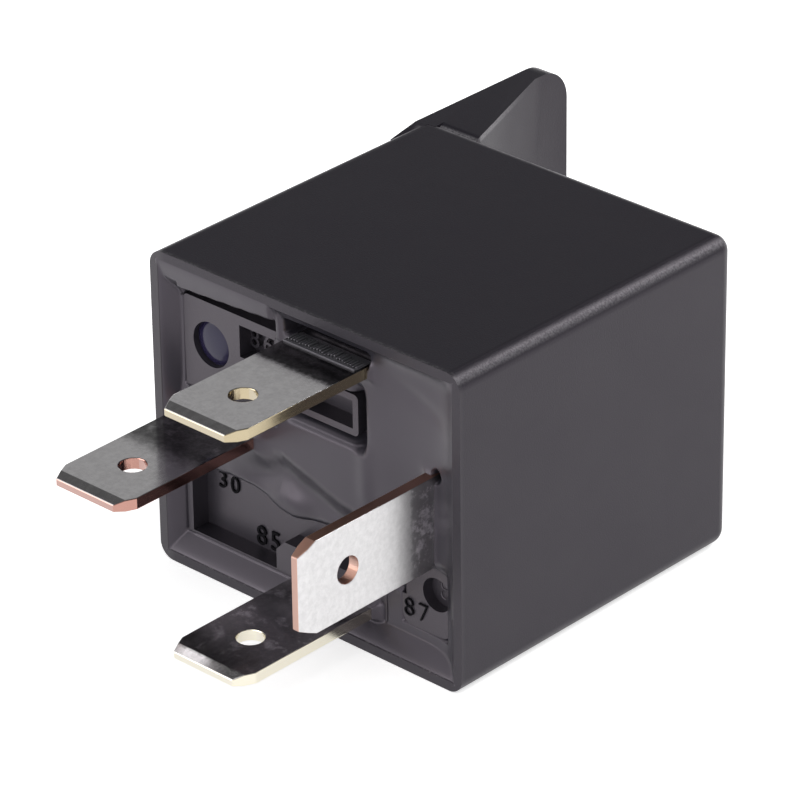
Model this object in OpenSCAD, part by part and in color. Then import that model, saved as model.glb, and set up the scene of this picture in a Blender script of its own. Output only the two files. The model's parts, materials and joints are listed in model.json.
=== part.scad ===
// Cube relay with four quick-connect blades and a mounting bracket moulded on its cover.
// X runs along the terminal face, Y from the blades to the bracket and Z up. The relay lies on one
// side of its cover, and the origin is the centre of that side.
// The modules are drawn with y = 0 at the cover's open rim, and placed() shifts them to the origin.

/* [Cover] */
// Width of the cover along the terminal face
cover_width = 26; // [25.5:0.5:30]
// Height of the cover as it lies
cover_height = 22; // [21.5:0.5:26]
// Depth of the cover from its open rim to its closed end
cover_depth = 25.4; // [24:0.2:30]
// Wall thickness of the cover
cover_wall = 0.9; // [0.7:0.1:1.1]
// Radius of the cover's outer edges
cover_edge_radius = 1.1; // [0.5:0.1:1.5]
// Size of the lead-in chamfer inside the open rim
rim_chamfer = 0.25; // [0.15:0.05:0.4]

/* [Bracket] */
// Distance that the bracket reaches past the closed end
bracket_reach = 12.1; // [10.5:0.1:18]
// Thickness of the bracket plate
bracket_thickness = 1.5; // [1.2:0.1:2.5]
// Length of the bracket's ramp along the side of the cover
bracket_ramp = 2.4; // [1:0.1:5]
// Radius of the bracket's two free corners
bracket_corner_radius = 2.4; // [1:0.1:4]
// How far the gussets stand in from the plate at the closed end
gusset_width = 3.2; // [2:0.1:6]
// Length of the gussets along the plate
gusset_length = 8.9; // [5:0.1:10]
// Width of the channel between the gussets, for the screw head
channel_width = 8.6; // [8:0.1:11]
// Diameter of the screw hole
screw_hole_diameter = 5.5; // [4:0.1:6.5]
// Distance from the closed end to the centre of the screw hole
screw_hole_distance = 6; // [4.5:0.1:7]

/* [Blades] */
// Width of a blade
blade_width = 6.3; // [5.5:0.1:6.5]
// Thickness of a blade
blade_thickness = 0.8; // [0.6:0.05:1]
// Distance from the rim to the tip of a blade
blade_reach = 11.2; // [8:0.1:14]
// Diameter of the latching hole in a blade
latch_hole_diameter = 1.8; // [1.2:0.1:2.2]
// Distance from the tip to the centre of the latching hole
latch_hole_distance = 4.15; // [3.6:0.05:5]
// Width of the corner chamfer at the tip
tip_chamfer_width = 0.65; // [0.3:0.05:1]
// Length of the corner chamfer at the tip
tip_chamfer_length = 1.4; // [0.8:0.1:2]
// Length of the bevel on each face at the tip
tip_bevel_length = 0.75; // [0.3:0.05:1.2]
// Thickness of the tip's front face
tip_thickness = 0.5; // [0.3:0.05:0.55]
// Distance of the two coil blades, 85 and 86, from the sides of the cover
coil_blade_margin = 2.6; // [2.4:0.1:3]
// Position of the coil blades along the terminal face
coil_blade_x = 2; // [1:0.1:3]
// Position of the common blade, 30
common_blade_x = -7.8; // [-8.4:0.1:-7.4]
// Position of the switched blade, 87
switched_blade_x = 10; // [9.6:0.1:10.4]

/* [Base and sealant] */
// Depth of the raised label lands under the rim
land_depth = 1; // [0.6:0.1:1.4]
// Depth of the label pockets under the lands
label_depth = 1.33; // [0.9:0.01:1.6]
// Thickness of the base behind the label pockets
base_thickness = 2.07; // [1.8:0.01:3]
// Thickness of the thin walls that keep sealant out of the labels
dam_wall = 0.46; // [0.35:0.01:0.6]
// Depth of the sealant's level surface under the rim
sealant_level = 1.5; // [1.2:0.1:1.8]
// Clearance of the base inside the cover
base_fit = 0.1; // [0.05:0.05:0.2]

/* [Magnet] */
// Thickness of the yoke
yoke_thickness = 1.6; // [1.2:0.1:2]
// How much narrower than the bobbin flanges the yoke is, on each side
yoke_inset = 0.8; // [0.5:0.1:1.2]
// Room between the cover and the outside of the yoke
yoke_room = 1.5; // [1.4:0.1:2]
// Diameter of the core
core_diameter = 6; // [5:0.1:7]
// Diameter of the pole face
pole_diameter = 8.4; // [7.6:0.1:10]
// Thickness of the pole face
pole_thickness = 1; // [0.6:0.1:1.4]
// Room between the cover and the bobbin flanges
flange_room = 3.3; // [3.2:0.1:4]
// Wall thickness of the bobbin tube
bobbin_wall = 0.65; // [0.5:0.05:0.9]
// Thickness of the bobbin flanges
flange_thickness = 1; // [0.8:0.1:1.3]
// Diameter of the coil wire
wire_diameter = 0.4; // [0.3:0.05:0.6]

/* [Armature and contacts] */
// Thickness of the armature
armature_thickness = 1.4; // [1.1:0.1:1.6]
// How much narrower than the yoke the armature is, on each side
armature_inset = 0.5; // [0.3:0.1:0.8]
// Angle by which the armature stands open
open_angle = 3.2; // [2.5:0.1:4]
// Gap left between the pole face and the closed armature
pole_gap = 0.12; // [0.08:0.01:0.2]
// Gap left between the yoke's edge and the closed armature
hinge_gap = 0.05; // [0.03:0.01:0.1]
// Thickness of the contact spring
spring_thickness = 0.3; // [0.2:0.05:0.35]
// How much narrower than the armature the contact spring is, on each side
spring_inset = 2; // [1.6:0.1:2.2]
// Diameter of the contact heads
contact_diameter = 3.2; // [2.6:0.1:3.6]
// Thickness of the contact heads
contact_thickness = 0.8; // [0.6:0.05:1]
// Gap left between the contacts when the armature is closed
contact_gap = 0.08; // [0.05:0.01:0.15]
// Distance from blade 87 to the contacts
contact_offset = 1.6; // [1.4:0.1:2]

/* [Hidden] */
$fn = 64;

cut = 1;                      // how far a cutting solid runs past the face that it cuts
rivet_fit = 0.02;             // radial clearance of a rivet or pin in its hole

// Cavity of the cover
cavity_x = cover_width / 2 - cover_wall;
cavity_z0 = cover_wall;
cavity_z1 = cover_height - cover_wall;
cavity_end = cover_depth - cover_wall;
cavity_radius = 0.5;
mid_z = cover_height / 2;

// Bracket
plate_x0 = -cover_width / 2;
plate_x1 = plate_x0 + bracket_thickness;
plate_end = cover_depth + bracket_reach;
plate_edge_drop = 0.45;       // height of the ramp where it leaves the rounded edge of the cover
gusset_root = cover_wall / 2; // how far the gussets run into the closed end

// Blades
half_blade = blade_width / 2;
half_thick = blade_thickness / 2;
z_85 = coil_blade_margin;
z_86 = cover_height - coil_blade_margin;
coil_pin_width = 1.6;

// Depths of the base and the sealant
floor_y = land_depth + label_depth;
base_back = floor_y + base_thickness;
sealant_lip = rim_chamfer;    // the sealant reaches up to the chamfer of the rim

// Label pocket that blades 30 and 85 share
pocket_side = 1.16;           // from the side of the cavity
pocket_foot = 1.3;            // from the bottom of the cavity
pocket_drop = 3.7;            // from blade 30 down to the sealant's edge in the pocket
pocket_strip = 1.6;           // width of the open strip beside the sealant
pocket_x0 = -cavity_x + pocket_side;
pocket_z0 = cavity_z0 + pocket_foot;
pocket_top = mid_z - half_thick - pocket_drop;
lobe_places = [4.2, 8.5];     // the sealant's two lobes, from the left wall of the pocket
lobe_radius = 1.5;
lobe_rise = 0.7;

// Boss round blade 85
boss_left = 2.45;
boss_right = 0.75;
boss_rise = 1.35;
boss_chamfer = 0.75;
pocket_x1 = coil_blade_x - half_blade - boss_left;
boss_x1 = coil_blade_x + half_blade + boss_right;
boss_top = z_85 + half_thick + boss_rise;
boss_pocket_width = 3.2;      // opening in the sealant above the boss
boss_pocket_rise = 1.7;

// Label island of blade 86, with the vent recess
island_side = 0.95;
island_gap = 1.68;            // between the island and blade 86
island_rise = 1.7;            // of the island's lower edge over the middle
island_cover = 0.1;           // how far the island runs up beside blade 86
corner_round = 0.35;
island_x0 = -cavity_x + island_side;
island_x1 = coil_blade_x - half_blade - island_gap;
island_z0 = mid_z + island_rise;
island_z1 = z_86 - half_thick + island_cover;
label_86_size = [3.01, 2.21];
label_86_top = 0.64;          // land left above the label
label_86_x0 = island_x1 - dam_wall - label_86_size[0];
label_86_z0 = island_z1 - label_86_top - label_86_size[1];
vent_diameter = 3.1;
vent_depth = 0.45;
vent_plug_thickness = 1.1;
vent_side = 2.33;
vent_drop = 2.9;
vent_x = island_x0 + vent_side;
vent_z = island_z1 - vent_drop;

// Label frame of the unused middle position
frame_left = 3.6;
frame_right = 1.72;
frame_rise = 3.2;
frame_height = 2.85;
frame_x0 = coil_blade_x - frame_left;
frame_x1 = coil_blade_x + frame_right;
frame_z0 = mid_z + frame_rise;
frame_z1 = frame_z0 + frame_height;

// Label island of blade 87, with a round recess and a notch
corner_left = 2.8;
corner_right = 1.2;
corner_foot = 1.7;
corner_gap = 0.4;             // between the island and blade 87
corner_island_round = 0.9;
corner_x0 = switched_blade_x - corner_left;
corner_x1 = switched_blade_x + corner_right;
corner_z0 = cavity_z0 + corner_foot;
corner_z1 = mid_z - half_blade - corner_gap;
corner_square = 1.5;          // size of the island's corner that stays square
corner_hole_diameter = 2.3;
corner_hole_side = 1.12;
corner_hole_rise = 3;
corner_hole_x = corner_x1 - corner_hole_side;
corner_hole_z = corner_z0 + corner_hole_rise;
notch_rise = 2.1;
notch_height = 1.3;
notch_depth = 0.35;

// Well over blade 86 that the sealant leaves open, with its fine ribs
well_inset = 0.1;
well_overhang = 0.15;
well_land = 0.3;              // between the well and the side of the cavity
well_x0 = coil_blade_x - half_blade + well_inset;
well_x1 = coil_blade_x + half_blade + well_overhang;
well_z0 = z_86 + half_thick;
well_z1 = cavity_z1 - well_land;
well_depth = 0.9;
rib_pitch = 0.42;
rib_width = 0.2;
rib_height = 0.25;

// Depths along the magnet, from the base to the armature
foot_y0 = base_back + blade_thickness;
foot_y1 = foot_y0 + yoke_thickness;
coil_y0 = foot_y1 + flange_thickness;
hinge_x = -cavity_x + yoke_room;
contact_x = switched_blade_x - contact_offset;
spring_lip = 0.6;             // length of the spring past the contact
spring_end = contact_x + contact_diameter / 2 + spring_lip;
end_room = 0.5;               // room left between the open spring and the cover
back_head = 0.25;             // height of the moving contact's riveted end
spring_rise = (spring_end - hinge_x) * sin(open_angle);
spring_y1 = cavity_end - end_room - back_head - spring_rise;
armature_y1 = spring_y1 - spring_thickness;
armature_y0 = armature_y1 - armature_thickness;
pole_y = armature_y0 - pole_gap;
flange_y1 = pole_y - pole_thickness;
coil_y1 = flange_y1 - flange_thickness;
yoke_end = armature_y0 - hinge_gap;

// Places across the magnet
coil_gap = 0.2;               // gap between the yoke and the bobbin
flange_lip = 0.5;             // how far the flanges stand out over the winding
flange_half = mid_z - cavity_z0 - flange_room;
flange_round = 1;
winding_radius = flange_half - flange_lip;
yoke_width = 2 * (flange_half - yoke_inset);
armature_width = yoke_width - 2 * armature_inset;
spring_width = armature_width - 2 * spring_inset;
core_x = hinge_x + yoke_thickness + coil_gap + flange_half;
foot_overhang = 2;            // of the yoke's foot past the pole
foot_x1 = core_x + pole_diameter / 2 + foot_overhang;
core_fit = 0.05;
core_shoulder = 1;
core_bore = core_diameter / 2 + core_fit;
shank_radius = core_diameter / 2 - core_shoulder;
tube_radius = core_bore + bobbin_wall;
armature_overhang = 2.6;      // of the armature past the pole
armature_x1 = core_x + pole_diameter / 2 + armature_overhang;
bend_radius = 0.9 * armature_thickness;
fixed_face = armature_y1 - contact_thickness - contact_gap;
tab_y1 = fixed_face - contact_thickness;
tab_y0 = tab_y1 - blade_thickness;
strip_width = 5;
post_width = 2.2;
post_drop = 6;                // from the fixed contact's tab down to the post
post_top = tab_y0 - post_drop;
solder_radius = 1.15;
solder_height = 1.2;
pin_tail = 0.4;               // how far the coil pins stand out of the solder
pin_end = coil_y0 + solder_height + pin_tail;
lead_lift = 0.1;
lead_y = coil_y0 + wire_diameter / 2 + lead_lift;
ear_half = 1.8;
ear_room = 0.3;               // between the bobbin's ears and the cover
ear_round = 0.6;

// Ribs in the cover that stop the open armature
stop_inset = 0.6;
stop_length = 2;
stop_width = 1.2;

// Rivets
rivet_radius = 0.7;
rivet_head_radius = 1.2;
rivet_head = 0.4;
armature_rivet_side = 3.4;    // from the hinge
armature_rivet_x = hinge_x + armature_rivet_side;
armature_rivet_land = 0.9;    // from the edge of the spring
armature_rivet_spread = spring_width - 2 * armature_rivet_land;
spring_rivet_drop = 5.4;      // from the yoke's edge
spring_rivet_y = yoke_end - spring_rivet_drop;
spring_rivet_land = 1.3;      // from the edge of the spring
spring_rivet_spread = spring_width - 2 * spring_rivet_land;
spring_tail = 2.2;            // length of the spring past its rivets on the yoke
spring_leg_end = spring_rivet_y - spring_tail;
yoke_rivet_radius = 1;
yoke_rivet_rise = 3.6;        // from the middle
yoke_rivet_z = mid_z + yoke_rivet_rise;
common_tab_land = 2;
common_tab_z1 = yoke_rivet_z + common_tab_land;
contact_shank = 0.9;
contact_upset = 0.35;         // how far the riveted ends spread past the shanks

// Bend of the contact spring round the corner of the armature
spring_bend = bend_radius + hinge_gap;
spring_bend_y = armature_y0
    + (armature_thickness - spring_bend + spring_bend * sin(open_angle)) / cos(open_angle);
spring_arm = spring_end - hinge_x - spring_bend * cos(open_angle)
    - (spring_bend_y - armature_y0) * sin(open_angle);

// Moves a node from the rim's frame to the part's own frame
module placed() {
    translate([0, -cover_depth / 2, 0]) children();
}

// Extrudes a flat shape, drawn in x and z, from depth y0 to depth y1
module along_y(y0, y1) {
    translate([0, y1, 0]) rotate([90, 0, 0]) linear_extrude(height = y1 - y0) children();
}

// Extrudes a flat shape, drawn in x and y, from height z0 to height z1
module along_z(z0, z1) {
    translate([0, 0, z0]) linear_extrude(height = z1 - z0) children();
}

// Extrudes a flat shape, drawn in y and z, from x0 to x1
module along_x(x0, x1) {
    translate([x0, 0, 0]) rotate([90, 0, 90]) linear_extrude(height = x1 - x0) children();
}

module flat_box(a0, b0, a1, b1) {
    translate([a0, b0]) square([a1 - a0, b1 - b0]);
}

module rounded_box(a0, b0, a1, b1, r) {
    flat_box(a0 + r, b0, a1 - r, b1);
    flat_box(a0, b0 + r, a1, b1 - r);
    for (a = [a0 + r, a1 - r], b = [b0 + r, b1 - r]) translate([a, b]) circle(r);
}

module rod_y(x, z, r, y0, y1) {
    translate([x, y1, z]) rotate([90, 0, 0]) cylinder(r = r, h = y1 - y0);
}

module rod_x(y, z, r, x0, x1) {
    translate([x0, y, z]) rotate([0, 90, 0]) cylinder(r = r, h = x1 - x0);
}

// Block whose far end and long edges are rounded, open towards -Y
module bull_block(x0, z0, x1, z1, y0, y1, r) {
    along_y(y0, y1 - r) rounded_box(x0, z0, x1, z1, r);
    along_y(y1 - r - 0.01, y1) flat_box(x0 + r, z0 + r, x1 - r, z1 - r);
    for (z = [z0 + r, z1 - r]) rod_x(y1 - r, z, r, x0 + r, x1 - r);
    for (x = [x0 + r, x1 - r]) translate([x, y1 - r, z0 + r]) cylinder(r = r, h = z1 - z0 - 2 * r);
    for (x = [x0 + r, x1 - r], z = [z0 + r, z1 - r]) translate([x, y1 - r, z]) sphere(r);
}

// ---- Cover with its bracket ----

module bracket_plate() {
    along_x(plate_x0, plate_x1) {
        rounded_box(cover_depth - cover_edge_radius, 0, plate_end, cover_height, bracket_corner_radius);
        polygon([
            [cover_depth - cover_edge_radius - bracket_ramp, plate_edge_drop],
            [cover_depth - cover_edge_radius, 0],
            [cover_depth + bracket_corner_radius, 0],
            [cover_depth + bracket_corner_radius, cover_height],
            [cover_depth - cover_edge_radius, cover_height],
            [cover_depth - cover_edge_radius - bracket_ramp, cover_height - plate_edge_drop]]);
    }
}

module gusset(z0, z1) {
    along_z(z0, z1) polygon([
        [plate_x1 - cover_wall / 2, cover_depth - gusset_root],
        [plate_x1 + gusset_width, cover_depth - gusset_root],
        [plate_x1 + gusset_width, cover_depth],
        [plate_x1, cover_depth + gusset_length],
        [plate_x1 - cover_wall / 2, cover_depth + gusset_length]]);
}

// Chamfer that leads the base in past the open rim
module rim_lead_in() {
    run = rim_chamfer + cut;
    intersection() {
        along_z(-cut, cover_height + cut) polygon([
            [-cavity_x - run, -cut],
            [cavity_x + run, -cut],
            [cavity_x, rim_chamfer],
            [-cavity_x, rim_chamfer]]);
        along_x(-cover_width, cover_width) polygon([
            [-cut, cavity_z0 - run],
            [-cut, cavity_z1 + run],
            [rim_chamfer, cavity_z1],
            [rim_chamfer, cavity_z0]]);
    }
}

// Two ribs inside the closed end that stop the open armature
module stop_ribs() {
    stop_x1 = armature_x1 - stop_inset;
    stop_y0 = armature_y1 + (stop_x1 - hinge_x) * sin(open_angle) + hinge_gap;
    stop_z = armature_width / 2 - stop_width;
    for (z = [mid_z - stop_z, mid_z + stop_z])
        along_y(stop_y0, cavity_end + cover_wall / 2)
            flat_box(stop_x1 - stop_length, z - stop_width / 2, stop_x1, z + stop_width / 2);
}

module cover() {
    color([0.13, 0.13, 0.14]) difference() {
        union() {
            difference() {
                bull_block(-cover_width / 2, 0, cover_width / 2, cover_height, 0, cover_depth,
                           cover_edge_radius);
                along_y(-cut, cavity_end)
                    rounded_box(-cavity_x, cavity_z0, cavity_x, cavity_z1, cavity_radius);
                rim_lead_in();
            }
            difference() {
                bracket_plate();
                along_y(0, cavity_end) flat_box(-cavity_x, 0, cavity_x, cover_height);
            }
            gusset(0, mid_z - channel_width / 2);
            gusset(mid_z + channel_width / 2, cover_height);
            stop_ribs();
        }
        rod_x(cover_depth + screw_hole_distance, mid_z, screw_hole_diameter / 2,
              plate_x0 - cut, plate_x1 + cut);
    }
}

// ---- Base, its labels and the sealant ----

// Cross-sections of the four blades, in x and z
module blade_slots() {
    for (z = [z_85, z_86])
        flat_box(coil_blade_x - half_blade, z - half_thick, coil_blade_x + half_blade, z + half_thick);
    flat_box(common_blade_x - half_blade, mid_z - half_thick,
             common_blade_x + half_blade, mid_z + half_thick);
    flat_box(switched_blade_x - half_thick, mid_z - half_blade,
             switched_blade_x + half_thick, mid_z + half_blade);
}

// Open floor of the pocket that blades 30 and 85 share, up to the sealant's wavy edge
module pocket_floor() {
    difference() {
        union() {
            flat_box(pocket_x0, pocket_z0, pocket_x1, pocket_top);
            flat_box(pocket_x0, pocket_z0, pocket_x0 + pocket_strip, mid_z - half_thick);
            flat_box(pocket_x1, boss_top - boss_chamfer,
                     pocket_x1 + boss_pocket_width, boss_top + boss_pocket_rise);
        }
        for (place = lobe_places)
            translate([pocket_x0 + place, pocket_top + lobe_rise]) circle(lobe_radius);
    }
}

// Walls and boss that hold the sealant out of that pocket
module pocket_dam() {
    difference() {
        flat_box(pocket_x0 - dam_wall, pocket_z0 - dam_wall, boss_x1, mid_z - half_thick);
        flat_box(pocket_x0, pocket_z0, boss_x1 + cut, mid_z);
    }
    polygon([
        [pocket_x1, pocket_z0 - dam_wall],
        [boss_x1, pocket_z0 - dam_wall],
        [boss_x1, boss_top],
        [pocket_x1 + boss_chamfer, boss_top],
        [pocket_x1, boss_top - boss_chamfer]]);
}

module island_outline() {
    rounded_box(island_x0, island_z0, island_x1, island_z1, corner_round);
}

module corner_outline() {
    rounded_box(corner_x0, corner_z0, corner_x1, corner_z1, corner_island_round);
    flat_box(corner_x0, corner_z1 - corner_square, corner_x0 + corner_square, corner_z1);
}

module frame_outline() {
    rounded_box(frame_x0, frame_z0, frame_x1, frame_z1, corner_round);
}

module base_front() {
    along_y(land_depth, floor_y + base_thickness / 2) difference() {
        union() {
            pocket_dam();
            island_outline();
            corner_outline();
            frame_outline();
        }
        blade_slots();
    }
}

module label_pockets() {
    along_y(land_depth - cut, floor_y) {
        translate([label_86_x0, label_86_z0]) square(label_86_size);
        flat_box(frame_x0 + dam_wall, frame_z0 + dam_wall, frame_x1 - dam_wall, frame_z1 - dam_wall);
        flat_box(corner_x0 - cut, corner_z0 + notch_rise,
                 corner_x0 + notch_depth, corner_z0 + notch_rise + notch_height);
    }
    rod_y(corner_hole_x, corner_hole_z, corner_hole_diameter / 2, land_depth - cut, floor_y);
    rod_y(vent_x, vent_z, vent_diameter / 2, land_depth - cut,
          land_depth + vent_depth + vent_plug_thickness);
}

// Post on the back of the base that carries the strip of blade 87
module contact_post() {
    along_y(base_back - cut, post_top)
        flat_box(switched_blade_x - half_thick - post_width, mid_z - strip_width / 2,
                 switched_blade_x - half_thick, mid_z + strip_width / 2);
}

module well_ribs() {
    ribs = floor((well_x1 - well_x0 - rib_width) / rib_pitch);
    for (i = [1 : ribs])
        along_y(floor_y + well_depth - rib_height, floor_y + well_depth + rib_height)
            flat_box(well_x0 + i * rib_pitch, well_z0,
                     well_x0 + i * rib_pitch + rib_width, well_z1);
}

module base() {
    color([0.17, 0.17, 0.18]) {
        difference() {
            union() {
                along_y(floor_y, base_back)
                    rounded_box(-cavity_x + base_fit, cavity_z0 + base_fit,
                                cavity_x - base_fit, cavity_z1 - base_fit, cavity_radius);
                base_front();
                contact_post();
            }
            label_pockets();
            along_y(floor_y - cut, base_back + cut) blade_slots();
            along_y(floor_y - cut, floor_y + well_depth) flat_box(well_x0, well_z0, well_x1, well_z1);
        }
        well_ribs();
    }
}

module vent_plug() {
    color([0.24, 0.23, 0.36])
        rod_y(vent_x, vent_z, vent_diameter / 2 - rivet_fit, land_depth + vent_depth,
              land_depth + vent_depth + vent_plug_thickness);
}

module sealant() {
    lip = 0.05;               // thickness of the sealant's edge on the cover
    color([0.2, 0.2, 0.21]) difference() {
        along_y(sealant_lip, floor_y)
            rounded_box(-cavity_x, cavity_z0, cavity_x, cavity_z1, cavity_radius);
        bull_block(-cavity_x + lip, cavity_z0 + lip, cavity_x - lip, cavity_z1 - lip,
                   sealant_lip - cut, sealant_level, sealant_level - sealant_lip);
        along_y(sealant_lip - cut, floor_y + cut) {
            pocket_floor();
            pocket_dam();
            island_outline();
            corner_outline();
            frame_outline();
            blade_slots();
            flat_box(well_x0, well_z0, well_x1, well_z1);
        }
    }
}

// ---- Terminals ----

// Flat blade in the plane z = 0 with its tip towards -Y, up to depth root_y
module blade(root_y) {
    tip = -blade_reach;
    difference() {
        intersection() {
            along_z(-half_thick, half_thick) polygon([
                [-half_blade + tip_chamfer_width, tip],
                [half_blade - tip_chamfer_width, tip],
                [half_blade, tip + tip_chamfer_length],
                [half_blade, root_y],
                [-half_blade, root_y],
                [-half_blade, tip + tip_chamfer_length]]);
            along_x(-half_blade, half_blade) polygon([
                [tip, -tip_thickness / 2],
                [tip + tip_bevel_length, -half_thick],
                [root_y, -half_thick],
                [root_y, half_thick],
                [tip + tip_bevel_length, half_thick],
                [tip, tip_thickness / 2]]);
        }
        translate([0, tip + latch_hole_distance, 0])
            cylinder(d = latch_hole_diameter, h = 2 * blade_thickness, center = true);
    }
}

// Coil blade with a pin that passes through the bobbin's ear
module coil_terminal(z) {
    translate([coil_blade_x, 0, z]) {
        blade(base_back);
        along_z(-half_thick, half_thick)
            flat_box(-coil_pin_width / 2, base_back - cut, coil_pin_width / 2, pin_end);
    }
}

module terminal_85() {
    color([0.72, 0.70, 0.64]) coil_terminal(z_85);
}

module terminal_86() {
    color([0.76, 0.74, 0.68]) coil_terminal(z_86);
}

// Common blade, whose inner end is bent flat under the yoke
module terminal_30() {
    color([0.78, 0.74, 0.72]) difference() {
        translate([common_blade_x, 0, 0]) {
            translate([0, 0, mid_z]) blade(base_back + blade_thickness);
            along_y(base_back, foot_y0)
                flat_box(-half_blade, mid_z - half_thick, half_blade, common_tab_z1);
        }
        rod_y(common_blade_x, yoke_rivet_z, yoke_rivet_radius + rivet_fit, base_back - cut, foot_y0 + cut);
    }
}

// Switched blade, whose strip rises beside the coil and is bent over to carry the fixed contact
module terminal_87() {
    outer_x = switched_blade_x + half_thick;
    color([0.82, 0.78, 0.76]) difference() {
        union() {
            translate([switched_blade_x, 0, mid_z]) rotate([0, 90, 0]) blade(base_back);
            along_y(base_back - cut, tab_y1)
                flat_box(switched_blade_x - half_thick, mid_z - strip_width / 2,
                         outer_x, mid_z + strip_width / 2);
            along_y(tab_y0, tab_y1)
                flat_box(contact_x - strip_width / 2, mid_z - strip_width / 2,
                         outer_x, mid_z + strip_width / 2);
        }
        rod_y(contact_x, mid_z, contact_shank + rivet_fit, tab_y0 - cut, tab_y1 + cut);
    }
}

// ---- Magnet ----

module yoke() {
    z0 = mid_z - yoke_width / 2;
    z1 = mid_z + yoke_width / 2;
    bend = yoke_thickness;
    color([0.62, 0.63, 0.65]) difference() {
        along_z(z0, z1) difference() {
            union() {
                flat_box(hinge_x + bend, foot_y0, foot_x1, foot_y1);
                flat_box(hinge_x, foot_y0 + bend, hinge_x + yoke_thickness, yoke_end);
                intersection() {
                    translate([hinge_x + bend, foot_y0 + bend]) circle(bend);
                    flat_box(hinge_x, foot_y0, hinge_x + bend, foot_y0 + bend);
                }
            }
        }
        rod_y(core_x, mid_z, shank_radius + rivet_fit, foot_y0 - cut, foot_y1 + cut);
        rod_y(common_blade_x, yoke_rivet_z, yoke_rivet_radius + rivet_fit, foot_y0 - cut, foot_y1 + cut);
        for (z = [-1, 1])
            rod_x(spring_rivet_y, mid_z + z * spring_rivet_spread / 2, rivet_radius + rivet_fit,
                  hinge_x - cut, hinge_x + yoke_thickness + cut);
    }
}

module yoke_rivet() {
    color([0.70, 0.70, 0.72])
        rod_y(common_blade_x, yoke_rivet_z, yoke_rivet_radius, base_back, foot_y1);
}

module core() {
    color([0.66, 0.67, 0.69]) {
        rod_y(core_x, mid_z, shank_radius, foot_y0, foot_y1 + cut);
        rod_y(core_x, mid_z, core_diameter / 2, foot_y1, flange_y1 + pole_thickness / 2);
        rod_y(core_x, mid_z, pole_diameter / 2, flange_y1, pole_y);
    }
}

module bobbin_flange(y0, y1) {
    along_y(y0, y1) rounded_box(core_x - flange_half, mid_z - flange_half,
                                core_x + flange_half, mid_z + flange_half, flange_round);
}

module bobbin() {
    color([0.86, 0.84, 0.78]) difference() {
        union() {
            bobbin_flange(foot_y1, coil_y0);
            bobbin_flange(coil_y1, flange_y1);
            rod_y(core_x, mid_z, tube_radius, foot_y1, flange_y1);
            along_y(foot_y1, coil_y0)
                rounded_box(coil_blade_x - ear_half, cavity_z0 + ear_room,
                            coil_blade_x + ear_half, cavity_z1 - ear_room, ear_round);
        }
        rod_y(core_x, mid_z, core_bore, foot_y1 - cut, flange_y1 + cut);
        along_y(foot_y1 - cut, coil_y0 + cut)
            for (z = [z_85, z_86])
                flat_box(coil_blade_x - coil_pin_width / 2 - rivet_fit, z - half_thick - rivet_fit,
                         coil_blade_x + coil_pin_width / 2 + rivet_fit, z + half_thick + rivet_fit);
    }
}

// Winding, whose outside shows one shallow groove for each turn of the top layer
module winding() {
    turn = 2 * wire_diameter;
    groove = 0.4 * wire_diameter;
    turns = floor((coil_y1 - coil_y0 - wire_diameter) / turn);
    color([0.66, 0.33, 0.17]) difference() {
        rod_y(core_x, mid_z, winding_radius, coil_y0, coil_y1);
        rod_y(core_x, mid_z, tube_radius, coil_y0 - cut, coil_y1 + cut);
        for (i = [1 : turns]) translate([core_x, coil_y0 + i * turn, mid_z]) rotate([90, 0, 0])
            rotate_extrude() translate([winding_radius, 0]) rotate(45) square(groove, center = true);
    }
}

// Wires from the winding to the two coil pins, square to the winding's surface
module coil_leads() {
    side_x = coil_blade_x - core_x;
    side_z = mid_z - coil_blade_margin;
    lead_length = sqrt(side_x * side_x + side_z * side_z) - winding_radius - solder_radius;
    for (side = [-1, 1])
        color([0.72, 0.38, 0.20]) translate([core_x, lead_y, mid_z])
            rotate([0, atan2(side_x, side * side_z), 0]) translate([0, 0, winding_radius])
            cylinder(d = wire_diameter, h = lead_length);
}

// Solder on each coil pin, against the bobbin's ear
module solder_joints() {
    color([0.78, 0.79, 0.80]) for (z = [z_85, z_86]) difference() {
        rod_y(coil_blade_x, z, solder_radius, coil_y0, coil_y0 + solder_height);
        along_y(coil_y0 - cut, coil_y0 + solder_height + cut)
            flat_box(coil_blade_x - coil_pin_width / 2, z - half_thick,
                     coil_blade_x + coil_pin_width / 2, z + half_thick);
    }
}

// ---- Armature and contacts ----

// Turns a piece from the closed place, in which it is drawn, to the open place of rest
module opened() {
    translate([hinge_x, armature_y0, 0]) rotate([0, 0, open_angle])
        translate([-hinge_x, -armature_y0, 0]) children();
}

module armature() {
    x0 = hinge_x + 0.05;
    color([0.60, 0.61, 0.63]) opened() difference() {
        along_z(mid_z - armature_width / 2, mid_z + armature_width / 2) {
            flat_box(x0 + bend_radius, armature_y0, armature_x1, armature_y1);
            flat_box(x0, armature_y0, armature_x1, armature_y1 - bend_radius);
            translate([x0 + bend_radius, armature_y1 - bend_radius]) intersection() {
                circle(bend_radius);
                flat_box(-bend_radius, 0, 0, bend_radius);
            }
        }
        for (side = [-1, 1])
            rod_y(armature_rivet_x, mid_z + side * armature_rivet_spread / 2,
                  rivet_radius + rivet_fit, armature_y0 - cut, armature_y1 + cut);
    }
}

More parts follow.
